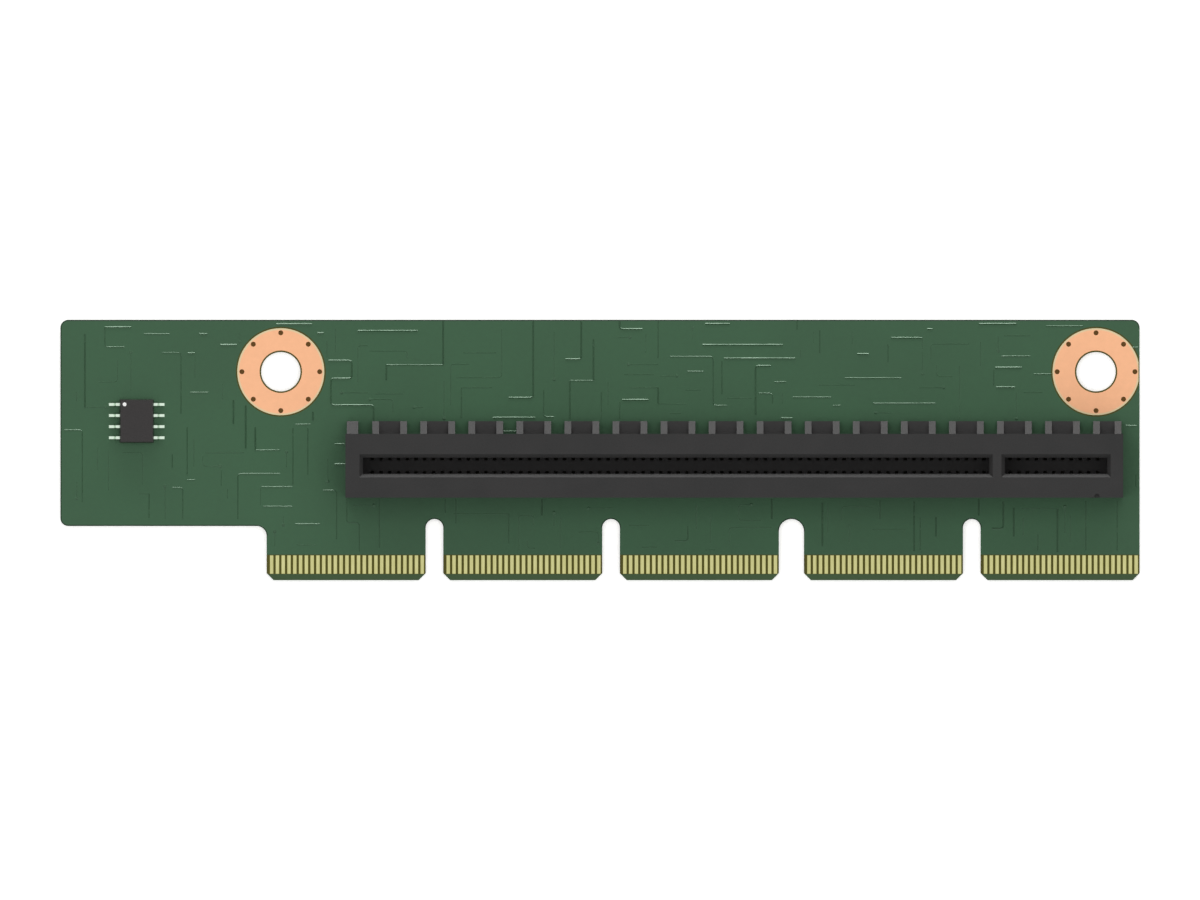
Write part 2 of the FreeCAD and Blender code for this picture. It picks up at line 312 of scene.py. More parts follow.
@dataclass(frozen=True)
class SolderMask(Finish):
    """Green photo-imaged solder mask on glass-epoxy laminate.

    A satin film that drifts a little in tone where it lies thicker, over the ripple of the glass weave. The
    laminate's routed edge and the floors of the mask openings show as bare olive resin.
    """

    name: str = "solder_mask_on_glass_epoxy"
    thin: str = "#385A40"
    thick: str = "#36553D"
    resin: str = "#49470F"
    bare_from: float = 0.035  # the laminate is bare between these two heights
    bare_to: float = 1.535
    bevel_line: float = -14.2  # nearer the tabs' ends than this, only a share of the resin's colour shows
    bevel_share: float = 0.3
    drift: float = 16.0  # how far apart thicker and thinner film lie
    weave: float = 0.45  # spacing of the glass yarns
    weave_share: float = 0.3
    weave_depth: float = 0.004
    roughness: float = 0.5
    specular: float = 0.35

    def pattern(self, tree: NodeTree, place: NodeSocket) -> Inputs:
        """Adds the drifting green, the bare resin between the faces and the weave's ripple.

        Args:
            tree: the material's tree.
            place: the Object coordinates.

        Returns:
            The shader's inputs.
        """
        drift = add_node(tree, "ShaderNodeTexNoise", {
            "Vector": place, "Scale": scale_for(self.drift), "Detail": 2.0})
        weave = add_node(tree, "ShaderNodeTexNoise", {
            "Vector": place, "Scale": scale_for(self.weave), "Detail": 2.0})
        both = add_node(tree, "ShaderNodeMix", {
            0: self.weave_share, 2: drift.outputs["Fac"], 3: weave.outputs["Fac"]})
        spread = add_node(tree, "ShaderNodeMapRange", {
            "Value": both.outputs[0], "From Min": NOISE_LOW, "From Max": NOISE_HIGH})
        green = add_node(tree, "ShaderNodeMix", {
            0: spread.outputs["Result"], 6: srgb(self.thick), 7: srgb(self.thin)}, data_type="RGBA")
        parts = add_node(tree, "ShaderNodeSeparateXYZ", {"Vector": place})
        above, below, inland = (
            add_node(tree, "ShaderNodeMath", {0: parts.outputs[axis], 1: metres(limit)}, operation=test)
            for axis, limit, test in (("Z", self.bare_from, "GREATER_THAN"), ("Z", self.bare_to, "LESS_THAN"),
                                      ("Y", self.bevel_line, "GREATER_THAN")))
        between = add_node(tree, "ShaderNodeMath", {
            0: above.outputs[0], 1: below.outputs[0]}, operation="MULTIPLY")
        share = add_node(tree, "ShaderNodeMapRange", {
            "Value": inland.outputs[0], "To Min": self.bevel_share})
        bare = add_node(tree, "ShaderNodeMath", {
            0: between.outputs[0], 1: share.outputs["Result"]}, operation="MULTIPLY")
        colour = add_node(tree, "ShaderNodeMix", {
            0: bare.outputs[0], 6: green.outputs[2], 7: srgb(self.resin)}, data_type="RGBA")
        bump = add_node(tree, "ShaderNodeBump", {
            "Height": weave.outputs["Fac"], "Distance": metres(self.weave_depth), "Strength": 0.5})
        return {"Base Color": colour.outputs[2], "Normal": bump.outputs["Normal"],
                "Roughness": self.roughness, "Specular IOR Level": self.specular}


@dataclass(frozen=True)
class MaskOverTrace(Finish):
    """Solder mask stretched over the flanks of an etched trace.

    The film is thin and glossy there, so a flank that faces a light glints. Its green is painted darker than
    the mask beside it, as shade on the flanks that face no light.
    """

    name: str = "solder_mask_over_trace"
    # Painted shade: both greens are darker than the board's mask, so that the traces read as shaded lines.
    hollow: str = "#2C4933"
    crest: str = "#36543C"
    sheen: str = "#D8F8DF"
    drift: float = 2.5  # how far apart thicker and thinner film lie along a trace
    glossy: float = 0.15
    duller: float = 0.29
    specular: float = 0.55

    def pattern(self, tree: NodeTree, place: NodeSocket) -> Inputs:
        """Adds a green that is painted darker as shade and changes along the trace, and a gloss that comes
        and goes.

        Args:
            tree: the material's tree.
            place: the Object coordinates.

        Returns:
            The shader's inputs.
        """
        drift = add_node(tree, "ShaderNodeTexNoise", {
            "Vector": place, "Scale": scale_for(self.drift), "Detail": 2.0})
        green = add_node(tree, "ShaderNodeMix", {
            0: drift.outputs["Fac"], 6: srgb(self.hollow), 7: srgb(self.crest)}, data_type="RGBA")
        rough = add_node(tree, "ShaderNodeMapRange", {
            "Value": drift.outputs["Fac"], "From Min": NOISE_LOW, "From Max": NOISE_HIGH,
            "To Min": self.glossy, "To Max": self.duller})
        return {"Base Color": green.outputs[2], "Roughness": rough.outputs["Result"],
                "Specular Tint": srgb(self.sheen), "Specular IOR Level": self.specular}


@dataclass(frozen=True)
class CopperLand(Finish):
    """Rolled copper under a clear protective coat, on one round land.

    A matt salmon metal with a paler band round its rim, where the coat has pulled back.
    """

    name: str
    along: float
    up: float
    body: str = "#FCC197"
    rim: str = "#E0D1AA"
    rim_radius: float = 4.8
    rim_fade: float = 0.16
    grain: float = 0.6  # the rolled grain is finer than 0.1 and is drawn coarser, so that it shows
    darkest: float = 0.94
    palest: float = 1.04
    roughness: float = 0.5

    def pattern(self, tree: NodeTree, place: NodeSocket) -> Inputs:
        """Adds the salmon body, the rim band and the rolled grain.

        Args:
            tree: the material's tree.
            place: the Object coordinates.

        Returns:
            The shader's inputs.
        """
        flat = add_node(tree, "ShaderNodeVectorMath", {0: place, 1: (1.0, 1.0, 0.0)}, operation="MULTIPLY")
        middle = (metres(self.along), metres(self.up), 0.0)
        reach = add_node(tree, "ShaderNodeVectorMath", {0: flat.outputs[0], 1: middle}, operation="DISTANCE")
        band = add_node(tree, "ShaderNodeMapRange", {
            "Value": reach.outputs["Value"],
            "From Min": metres(self.rim_radius - self.rim_fade / 2.0),
            "From Max": metres(self.rim_radius + self.rim_fade / 2.0)})
        grain = add_node(tree, "ShaderNodeTexNoise", {
            "Vector": place, "Scale": scale_for(self.grain), "Detail": 3.0})
        tint = add_node(tree, "ShaderNodeMapRange", {
            "Value": grain.outputs["Fac"], "To Min": self.darkest, "To Max": self.palest})
        colour = add_node(tree, "ShaderNodeMix", {
            0: band.outputs["Result"], 6: srgb(self.body), 7: srgb(self.rim)}, data_type="RGBA")
        shaded = add_node(tree, "ShaderNodeVectorMath", {
            0: colour.outputs[2], "Scale": tint.outputs["Result"]}, operation="SCALE")
        return {"Base Color": shaded.outputs[0], "Metallic": 1.0, "Roughness": self.roughness}


@dataclass(frozen=True)
class PlatedStrips(Finish):
    """Plating on a row of equal strips: its own colour along the middle of each, painted shade at its two
    long sides.

    Bright metal with lengthwise streaks, where things have slid along it. The two long sides are painted in a
    darker side colour, as shade on the strips' edges, which makes each strip look narrower than its foil.
    """

    name: str
    deep: str
    light: str
    # Painted shade: the colour laid along each strip's two long sides.
    side: str
    row: Axis
    width: float
    pitch: float
    unshaded_half_width: float  # how far the unshaded colour reaches to each side of a strip's middle; past it, shade is painted on the sides
    glossy: float
    duller: float
    first: float = 0.0  # place of the first strip's middle along the row
    fade: float = 0.03
    streak: float = 0.12  # real streaks are about 0.03 wide and are drawn coarser, so that they show
    drawn_up: tuple[float, float, float] = (1.0, 0.06, 1.0)  # squeezing an axis draws the streaks out on it
    drawn_across: tuple[float, float, float] = (0.2, 1.0, 1.0)

    def on(self, node: str, label: str) -> "PlatedStrips":
        """Fits the finish to the row of strips that a node holds.

        Args:
            node: the frame node.
            label: what to add to the finish's name.

        Returns:
            The same finish with its first strip where the node's first strip is.
        """
        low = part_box(node)[0] * MM_PER_METRE
        edge = low.x if self.row is Axis.ALONG else low.y
        return replace(self, name=f"{self.name}_{label}", first=edge + self.width / 2.0)

    def pattern(self, tree: NodeTree, place: NodeSocket) -> Inputs:
        """Adds the lengthwise streaks and the painted shade at the sides.

        Args:
            tree: the material's tree.
            place: the Object coordinates.

        Returns:
            The shader's inputs.
        """
        shares = self.drawn_up if self.row is Axis.ALONG else self.drawn_across
        drawn = add_node(tree, "ShaderNodeVectorMath", {0: place, 1: shares}, operation="MULTIPLY")
        streak = add_node(tree, "ShaderNodeTexNoise", {
            "Vector": drawn.outputs[0], "Scale": scale_for(self.streak), "Detail": 2.0})
        plated = add_node(tree, "ShaderNodeMix", {
            0: streak.outputs["Fac"], 6: srgb(self.deep), 7: srgb(self.light)}, data_type="RGBA")
        parts = add_node(tree, "ShaderNodeSeparateXYZ", {"Vector": place})
        shifted = add_node(tree, "ShaderNodeMath", {
            0: parts.outputs[self.row.value], 1: metres(self.first)}, operation="SUBTRACT")
        off_middle = add_node(tree, "ShaderNodeMath", {
            0: shifted.outputs[0], 1: metres(self.pitch / 2.0)}, operation="PINGPONG")
        # Painted shade: this mask turns each strip's two long sides to the side colour.
        thin = add_node(tree, "ShaderNodeMapRange", {
            "Value": off_middle.outputs[0],
            "From Min": metres(self.unshaded_half_width - self.fade / 2.0),
            "From Max": metres(self.unshaded_half_width + self.fade / 2.0)})
        colour = add_node(tree, "ShaderNodeMix", {
            0: thin.outputs["Result"], 6: plated.outputs[2], 7: srgb(self.side)}, data_type="RGBA")
        rough = add_node(tree, "ShaderNodeMapRange", {
            "Value": streak.outputs["Fac"], "To Min": self.glossy, "To Max": self.duller})
        return {"Base Color": colour.outputs[2], "Roughness": rough.outputs["Result"], "Metallic": 1.0}


@dataclass(frozen=True)
class MouldedPolymer(Finish):
    """Glass-filled polymer from a spark-eroded mould.

    Nearly black and satin, with a grain that breaks up the highlights and faint flow marks. Below the top
    face it is painted a shade paler, as light that reaches down into the slot.
    """

    name: str = "glass_filled_polymer_moulded"
    dark: str = "#252525"
    light: str = "#2D2C2C"
    # Painted light: the walls and floor below the top face take this paler tone.
    painted_light_tone: str = "#333232"
    painted_light_from: float = 12.2  # heights at which the painted light begins and is full
    painted_light_full: float = 11.6
    grain: float = 0.16  # a sparked grain is about 0.03 and is drawn coarser, so that it shows
    grain_depth: float = 0.006
    flow: float = 5.0  # how far apart the flow marks lie
    flow_share: float = 0.45
    roughness: float = 0.5
    specular: float = 0.3

    def pattern(self, tree: NodeTree, place: NodeSocket) -> Inputs:
        """Adds the mould grain, the flow marks, painted light on the walls below the top face and a bump from
        the grain.

        Args:
            tree: the material's tree.
            place: the Object coordinates.

        Returns:
            The shader's inputs.
        """
        grain = add_node(tree, "ShaderNodeTexNoise", {
            "Vector": place, "Scale": scale_for(self.grain), "Detail": 2.0})
        flow = add_node(tree, "ShaderNodeTexNoise", {
            "Vector": place, "Scale": scale_for(self.flow), "Detail": 3.0, "Distortion": 0.6})
        both = add_node(tree, "ShaderNodeMix", {
            0: self.flow_share, 2: grain.outputs["Fac"], 3: flow.outputs["Fac"]})
        tone = add_node(tree, "ShaderNodeMapRange", {
            "Value": both.outputs[0], "From Min": NOISE_LOW, "From Max": NOISE_HIGH})
        outer = add_node(tree, "ShaderNodeMix", {
            0: tone.outputs["Result"], 6: srgb(self.dark), 7: srgb(self.light)}, data_type="RGBA")
        parts = add_node(tree, "ShaderNodeSeparateXYZ", {"Vector": place})
        # Painted light: below the top face the colour turns paler, standing in for light that reaches into
        # the slot.
        wall = add_node(tree, "ShaderNodeMapRange", {
            "Value": parts.outputs["Z"],
            "From Min": metres(self.painted_light_from), "From Max": metres(self.painted_light_full)})
        colour = add_node(tree, "ShaderNodeMix", {
            0: wall.outputs["Result"], 6: outer.outputs[2], 7: srgb(self.painted_light_tone)}, data_type="RGBA")
        bump = add_node(tree, "ShaderNodeBump", {
            "Height": grain.outputs["Fac"], "Distance": metres(self.grain_depth), "Strength": 0.6})
        return {"Base Color": colour.outputs[2], "Normal": bump.outputs["Normal"],
                "Roughness": self.roughness, "Specular IOR Level": self.specular}


@dataclass(frozen=True)
class PlainCoat(Finish):
    """A thin or small finish that shows no bare metal: its two tones, its grain size and its gloss.

    The grain keeps the tone and the gloss from being even.
    """

    name: str
    dark: str
    light: str
    grain: float
    roughness: float
    specular: float = 0.3
    swing: float = 0.08  # how far the roughness strays to each side
    tone_span: tuple[float, float] = (0.3, 0.7)
    depth_share: float = 0.03  # the bump's depth as a share of the grain

    def pattern(self, tree: NodeTree, place: NodeSocket) -> Inputs:
        """Adds the grain to colour, roughness and bump.

        Args:
            tree: the material's tree.
            place: the Object coordinates.

        Returns:
            The shader's inputs.
        """
        grain = add_node(tree, "ShaderNodeTexNoise", {
            "Vector": place, "Scale": scale_for(self.grain), "Detail": 2.0})
        tone = add_node(tree, "ShaderNodeMapRange", {
            "Value": grain.outputs["Fac"], "From Min": self.tone_span[0], "From Max": self.tone_span[1]})
        colour = add_node(tree, "ShaderNodeMix", {
            0: tone.outputs["Result"], 6: srgb(self.dark), 7: srgb(self.light)}, data_type="RGBA")
        rough = add_node(tree, "ShaderNodeMapRange", {
            "Value": grain.outputs["Fac"],
            "To Min": self.roughness - self.swing, "To Max": self.roughness + self.swing})
        bump = add_node(tree, "ShaderNodeBump", {
            "Height": grain.outputs["Fac"], "Strength": 0.4,
            "Distance": metres(self.grain * self.depth_share)})
        return {"Base Color": colour.outputs[2], "Roughness": rough.outputs["Result"],
                "Normal": bump.outputs["Normal"], "Specular IOR Level": self.specular}


# Contact springs: copper alloy painted near-black, as the shade deep in their pockets. Its
# scuffs from stamping are about 0.05 and are drawn coarser, so that they show.
SPRING_IN_PAINTED_SHADE = PlainCoat("spring_alloy_painted_shade", "#11110F", "#1D1C17", grain=0.3, roughness=0.45, specular=0.2)
# Chip body: black epoxy from a polished mould, with the speckle of its silica filler. The speckle is about
# 0.04 and is drawn coarser, so that it shows.
EPOXY = PlainCoat("silica_filled_epoxy", "#2A2828", "#322F2F", grain=0.12, roughness=0.45)
# Edge contacts: hard gold over nickel, a pale and slightly green gold, with olive shade painted along their
# etched sides.
GOLD = PlatedStrips("hard_gold_plating", "#B6B471", "#E2DFA6", "#6E6A0A", Axis.ALONG,
                    width=0.45, pitch=0.663, unshaded_half_width=0.19, glossy=0.24, duller=0.44)
# Chip leads and lands: bright tin, a soft white metal, with the board's green reflection painted into its
# colour and dark green shade painted along its sides.
LEAD_TIN = PlatedStrips("bright_tin_on_leads", "#D2E6D3", "#E8F7E8", "#4C6650", Axis.UP,
                        width=0.38, pitch=1.27, unshaded_half_width=0.155, glossy=0.26, duller=0.46)
LAND_TIN = PlatedStrips("bright_tin_on_lands", "#CDE3CF", "#E2F4E2", "#3F5E46", Axis.UP,
                        width=0.44, pitch=1.27, unshaded_half_width=0.165, glossy=0.26, duller=0.46)
# Resin that fills the vias in the copper lands: matt brown, its grain drawn coarser, so that it shows.
PLUG = PlainCoat("via_plug_resin", "#55380F", "#5E4216", grain=0.15, roughness=0.6)
# Routed edge: a strip along the laminate's outline, painted a darker green as the shade at the board's edge.
# Its grain is the glass weave's.
EDGE_SHADE_COAT = PlainCoat("painted_edge_shade", "#26392B", "#2D4231", grain=0.4, roughness=0.6, specular=0.15)
# Printed dot: white epoxy ink, slightly chalky, its pigment drawn coarser, so that it shows.
INK = PlainCoat("white_epoxy_ink", "#F0F0EE", "#FAFAF8", grain=0.1, roughness=0.6)


@dataclass(frozen=True)
class PaleFloor(Finish):
    """Matt white table, lifted to white for the eye and for reflections, which keeps the object's shadow."""

    name: str = "matt_white_table"
    tone: str = "#E9E9E7"
    white: str = "#FFFFFF"
    tooth: float = 0.8  # spacing of the paper's lumps
    lift: float = 0.5
    roughness: float = 0.9
    specular: float = 0.1

    def pattern(self, tree: NodeTree, place: NodeSocket) -> Inputs:
        """Adds a faint paper tooth and the lift for camera, glossy and transmission rays.

        Args:
            tree: the material's tree.
            place: the Object coordinates.

        Returns:
            The shader's inputs.
        """
        tooth = add_node(tree, "ShaderNodeTexNoise", {
            "Vector": place, "Scale": scale_for(self.tooth), "Detail": 2.0})
        colour = add_node(tree, "ShaderNodeMix", {
            0: tooth.outputs["Fac"], 6: srgb(self.tone), 7: srgb(self.white)}, data_type="RGBA")
        ray = add_node(tree, "ShaderNodeLightPath")
        seen = add_node(tree, "ShaderNodeMath", {
            0: ray.outputs["Is Camera Ray"], 1: ray.outputs["Is Glossy Ray"]}, operation="MAXIMUM")
        any_ray = add_node(tree, "ShaderNodeMath", {
            0: seen.outputs[0], 1: ray.outputs["Is Transmission Ray"]}, operation="MAXIMUM")
        glow = add_node(tree, "ShaderNodeMath", {0: any_ray.outputs[0], 1: self.lift}, operation="MULTIPLY")
        return {"Base Color": colour.outputs[2], "Emission Strength": glow.outputs[0],
                "Emission Color": srgb(self.white), "Roughness": self.roughness,
                "Specular IOR Level": self.specular}


# ---- mesh makers ----


def new_piece(name: str, mesh: Mesh) -> Object:
    """Puts a mesh in the scene as an object at the origin.

    Args:
        name: the object's name.
        mesh: its mesh.

    Returns:
        The new object.
    """
    piece = bpy.data.objects.new(name, mesh)
    bpy.context.scene.collection.objects.link(piece)
    return piece


def seed_mesh(name: str, points: list[Vector], edges: list[tuple[int, int]] | None = None) -> Mesh:
    """Makes the points and edges that a node tool works on.

    Args:
        name: what the tool will make of them.
        points: places in the frame.
        edges: pairs of points that are joined, if any are.

    Returns:
        A mesh without faces.
    """
    mesh = bpy.data.meshes.new(name + "_seed")
    mesh.from_pydata(points, edges or [], [])
    return mesh


def hand_in(piece: Object) -> None:
    """Fastens a finished piece to the frame and reports it.

    Args:
        piece: the object, in its place.
    """
    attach(piece, BODY)
    log.info("%s: %d faces", piece.name, len(piece.data.polygons))


class NodeTool:
    """A Geometry Nodes tree with named sizes, run on a seed mesh to give a plain mesh."""

    def __init__(self, name: str, sizes: dict[str, float]) -> None:
        """Starts the tree.

        Args:
            name: the tree's name.
            sizes: each named input and its value in metres.
        """
        self.sizes = sizes
        self.tree = bpy.data.node_groups.new(name, "GeometryNodeTree")
        sockets = self.tree.interface
        sockets.new_socket("Geometry", in_out="INPUT", socket_type="NodeSocketGeometry")
        for label in sizes:
            sockets.new_socket(label, in_out="INPUT", socket_type="NodeSocketFloat")
        sockets.new_socket("Geometry", in_out="OUTPUT", socket_type="NodeSocketGeometry")
        self.entry = add_node(self.tree, "NodeGroupInput").outputs

    def close(self, geometry: NodeSocket, finish: Finish) -> None:
        """Ends the tree: instances made real, finish set, geometry out.

        Args:
            geometry: the output socket of the tree's last shape.
            finish: what the shape wears.
        """
        real = add_node(self.tree, "GeometryNodeRealizeInstances", {"Geometry": geometry})
        dressed = add_node(self.tree, "GeometryNodeSetMaterial", {
            "Geometry": real.outputs[0], "Material": finish.material()})
        add_node(self.tree, "NodeGroupOutput", {0: dressed.outputs[0]})

    def run(self, name: str, seed: Mesh) -> Object:
        """Runs the tree on a seed mesh.

        Args:
            name: the new object's name.
            seed: the points or edges that the tree works on.

        Returns:
            A plain mesh object without modifiers.
        """
        carrier = new_piece(name + "_seed", seed)
        modifier = carrier.modifiers.new(self.tree.name, "NODES")
        modifier.node_group = self.tree
        for item in self.tree.interface.items_tree:
            if item.name in self.sizes:
                modifier[item.identifier] = self.sizes[item.name]
        seen = carrier.evaluated_get(bpy.context.evaluated_depsgraph_get())
        mesh = bpy.data.meshes.new_from_object(seen)
        carrier.modifiers.remove(modifier)
        bpy.data.objects.remove(carrier)
        mesh.name = name
        return new_piece(name, mesh)


class RidgeTool(NodeTool):
    """Sweeps a low ridge with sloping flanks along chains of edges."""

    corner_radius: float = 0.3
    corner_steps: int = 2

    def __init__(self, relief: Relief, face: Face, finish: Finish) -> None:
        """Builds the tree for one relief.

        Args:
            relief: the ridge's section.
            face: the face it stands up from, or down from at the back.
            finish: what it wears.
        """
        foot, crest, height = relief.value
        upper, lower = (crest, foot) if face is Face.FRONT else (foot, crest)
        super().__init__("etched_ridge", {
            "Upper Width": metres(upper), "Lower Width": metres(lower),
            "Height": metres(height), "Corner Radius": metres(self.corner_radius)})
        path = add_node(self.tree, "GeometryNodeMeshToCurve", {"Mesh": self.entry["Geometry"]})
        bent = add_node(self.tree, "GeometryNodeFilletCurve", {
            "Curve": path.outputs[0], "Count": self.corner_steps, "Radius": self.entry["Corner Radius"],
            "Limit Radius": True}, mode="POLY")
        level = add_node(self.tree, "GeometryNodeSetCurveNormal", {"Curve": bent.outputs[0]}, mode="Z_UP")
        # A level curve's section is swept upside down, so its bottom makes the ridge's upper side.
        section = add_node(self.tree, "GeometryNodeCurvePrimitiveQuadrilateral", {
            "Height": self.entry["Height"], "Bottom Width": self.entry["Upper Width"],
            "Top Width": self.entry["Lower Width"], "Offset": 0.0}, mode="TRAPEZOID")
        swept = add_node(self.tree, "GeometryNodeCurveToMesh", {
            "Curve": level.outputs[0], "Profile Curve": section.outputs[0], "Fill Caps": True})
        flat = add_node(self.tree, "GeometryNodeSetShadeSmooth", {
            "Geometry": swept.outputs[0], "Shade Smooth": False})
        self.close(flat.outputs[0], finish)


class StudTool(NodeTool):
    """Stands a low many-sided stud on every point."""

    sides: int = 12

    def __init__(self, foot: float, crest: float, height: float, face: Face, finish: Finish) -> None:
        """Builds the tree for studs of one size.

        Args:
            foot: the radius where the stud meets its face.
            crest: the radius at its outer end.
            height: how tall it is.
            face: the face it stands out from.
            finish: what it wears.
        """
        upper, lower = (crest, foot) if face is Face.FRONT else (foot, crest)
        super().__init__("low_stud", {
            "Upper Radius": metres(upper), "Lower Radius": metres(lower), "Height": metres(height)})
        stud = add_node(self.tree, "GeometryNodeMeshCone", {
            "Vertices": self.sides, "Depth": self.entry["Height"],
            "Radius Top": self.entry["Upper Radius"], "Radius Bottom": self.entry["Lower Radius"]})
        spread = add_node(self.tree, "GeometryNodeInstanceOnPoints", {
            "Points": self.entry["Geometry"], "Instance": stud.outputs["Mesh"]})
        self.close(spread.outputs[0], finish)

    def stand(self, name: str, points: list[Vector]) -> None:
        """Stands a stud on each point and fastens them to the frame as one piece of the board."""
        hand_in(self.run(name, seed_mesh(name, points)))


# ---- etched pattern ----


def routes(*rows: tuple[float, ...]) -> list[Route]:
    """Makes routes from rows that hold a start, along and up, and then the runs."""
    return [Route(along, up, tuple(runs)) for along, up, *runs in rows]


# Traces that stand out, from the wing to the right end, above the slot and then below it.
PROUD_ROUTES = routes(
    (8.1, 28.97, -3.0), (15.9, 28.2, 0.9), (14.6, 26.0, 0.8), (20.2, 26.95, -1.9), (24.7, 29.33, 4.1),
    (2.8, 28.2, 0.0, -8.4), (22.3, 14.9, 0.0, 2.6), (21.2, 20.0, 0.0, -4.9), (19.8, 20.6, 0.0, -2.7),
    (28.9, 19.3, 0.0, -1.0), (29.4, 28.3, 0.7), (32.6, 13.3, -1.2),
    (30.7, 25.15, 2.65, -2.05, -2.4, -3.05, 4.9, -1.8), (34.0, 28.55, 6.9), (37.3, 22.9, 0.0, 1.75),
    (43.8, 24.65, 0.0, 5.05), (51.3, 20.9, 2.8, 8.8), (49.5, 18.62, 4.8), (57.8, 25.3, 1.8, 4.4),
    (58.3, 18.5, 0.0, 4.35), (61.0, 22.85, 0.0, 4.7), (64.0, 29.7, 0.0, -0.95, 2.6), (64.3, 20.65, 3.0),
    (68.4, 22.05, 0.0, -1.85), (73.8, 29.35, 2.8), (73.5, 26.95, 9.15), (75.95, 25.4, 8.15),
    (81.3, 24.55, -1.75, -5.6), (82.5, 18.55, 1.3), (91.2, 25.9, 1.3), (95.1, 27.75, 3.55),
    (99.2, 28.75, 0.6), (105.1, 29.35, 4.3), (107.0, 24.35, 3.0), (107.1, 22.1, 2.1),
    (55.1, 9.3, 0.0, -1.9), (81.4, 9.3, 0.0, -2.3), (87.2, 8.8, 0.0, -4.9), (97.7, 9.0, 0.0, -5.7),
    (100.2, 7.2, 0.0, -2.2), (105.1, 9.3, 0.0, -1.9), (107.9, 9.0, 0.0, -3.1, -1.3),
    (109.1, 8.3, 0.0, -3.3), (114.1, 8.2, 0.0, -5.0),
)

# Narrower traces that show a little, in the same order.
MILD_ROUTES = routes(
    (5.1, 28.97, 0.0, -2.27, 2.2), (9.6, 28.2, 2.9), (11.6, 26.05, 2.2, -7.0), (14.9, 21.5, 2.0),
    (0.4, 17.2, 2.1, -8.2), (25.1, 12.2, -4.8, -5.2), (25.1, 14.9, -2.8), (26.5, 10.7, -3.5),
    (26.5, 8.45, -3.3), (26.9, 17.85, 1.7), (26.9, 6.45, 2.8), (32.6, 15.6, -1.2), (14.5, 17.5, 0.0, -5.5),
    (14.5, 11.5, 0.9), (12.8, 14.4, 0.0, -1.5), (12.8, 10.6, 1.2, -3.6), (10.15, 9.9, 0.0, -2.8),
    (26.6, 17.4, 0.0, -6.4), (28.3, 17.4, 0.0, -5.3), (30.1, 10.3, 1.5, -5.6), (37.3, 24.65, 6.5),
    (45.9, 22.05, 0.0, -3.5), (58.3, 22.85, 2.7), (50.65, 17.05, 1.5), (55.3, 21.8, 0.0, -3.1, 1.2),
    (61.9, 21.5, 0.0, -3.0), (64.0, 20.4, 0.0, -1.9), (68.4, 29.7, 0.0, -4.3), (69.8, 25.6, 4.9, -5.6, 1.6),
    (71.8, 23.9, 1.8), (75.7, 25.1, 0.0, -3.8), (79.9, 21.4, 1.6, -1.2), (81.7, 22.7, 1.3),
    (83.8, 20.95, 4.4), (84.3, 29.7, 0.0, -1.0), (86.9, 28.6, 0.0, -2.6), (88.4, 20.0, 0.9),
    (89.8, 23.15, 6.4), (93.0, 20.25, 7.1), (94.7, 27.0, 0.0, -2.0), (106.8, 24.1, 0.0, -1.8),
    (107.7, 25.65, 3.3), (111.4, 23.6, 2.0), (112.8, 29.1, 4.2), (122.7, 26.65, 0.65), (121.9, 17.7, 1.3),
    (123.1, 12.1, 0.0, -1.4), (32.75, 9.3, 0.0, -2.7, 1.45, -3.3), (36.5, 9.3, 0.0, -5.6),
    (44.05, 9.3, 0.0, -1.6), (45.25, 9.3, 0.0, -2.8), (51.3, 7.6, 0.0, -3.4), (70.3, 4.5, 1.5, 1.7),
    (93.8, 9.1, 0.0, -2.1), (98.4, 7.15, 0.0, -3.7), (111.85, 5.2, 0.0, -1.8), (117.35, 9.1, 0.0, -5.7),
    (120.95, 9.1, 0.0, -5.7),
)

# Traces that hardly show, in the same order.
LOW_ROUTES = routes(
    (2.8, 19.8, 2.4), (15.4, 25.6, 0.0, -2.4), (16.6, 14.6, 4.4), (16.3, 14.2, 0.0, -1.15, 2.0),
    (18.4, 12.6, 0.0, -1.8), (9.0, 9.9, 1.15), (20.5, 28.3, 0.0, -1.0), (22.9, 10.5, 0.0, -1.9),
    (30.5, 27.4, 0.0, -1.9), (43.9, 22.8, 0.0, -4.3), (49.4, 22.05, -3.5), (45.3, 23.2, 5.2, 5.5),
    (56.5, 28.4, 0.0, -5.4), (65.3, 22.05, 3.1), (68.4, 20.2, 3.2), (68.4, 24.7, -3.4),
    (67.0, 28.2, 0.0, -2.2), (76.3, 20.85, 2.8), (98.65, 27.75, 0.0, -4.1), (102.9, 24.5, 0.0, -6.0),
    (108.0, 28.0, 3.0), (109.4, 21.5, 0.0, -3.0), (45.0, 7.6, 6.3), (110.0, 8.2, 4.1),
)


@dataclass
class Router:
    """Lays short routes that stay inside the open fields and clear of all that was laid before them."""

    fields: list[Zone]
    taken: list[Zone]
    clearance: float = 0.6
    shortest: float = 0.8
    most_runs: int = 4

    def fits(self, route: Route) -> bool:
        """Tells whether a route finds room.

        Args:
            route: the route to try.

        Returns:
            Whether it lies in one field and touches nothing.
        """
        zones = route.zones()
        open_field = any(all(f.holds(z) for z in zones) for f in self.fields)
        return open_field and not any(z.near(t, self.clearance) for z in zones for t in self.taken)

    def scatter(self, seed: int, tries: int, longest: float) -> list[Route]:
        """Lays routes at random places.

        Args:
            seed: the seed of the random draws.
            tries: how many routes to try.
            longest: length of the longest run.

        Returns:
            The routes that found room.
        """
        dice = random.Random(seed)
        areas = [(f.right - f.left) * (f.high - f.low) for f in self.fields]
        laid = []
        for _ in range(tries):
            home = dice.choices(self.fields, areas)[0]
            runs = tuple(dice.choice((-1.0, 1.0)) * dice.uniform(self.shortest, longest)
                         for _ in range(dice.randint(1, self.most_runs)))
            upright_first = dice.random() < 0.5
            route = Route(dice.uniform(home.left, home.right), dice.uniform(home.low, home.high),
                          (0.0,) + runs if upright_first else runs)
            if self.fits(route):
                self.taken += route.zones()
                laid.append(route)
        return laid


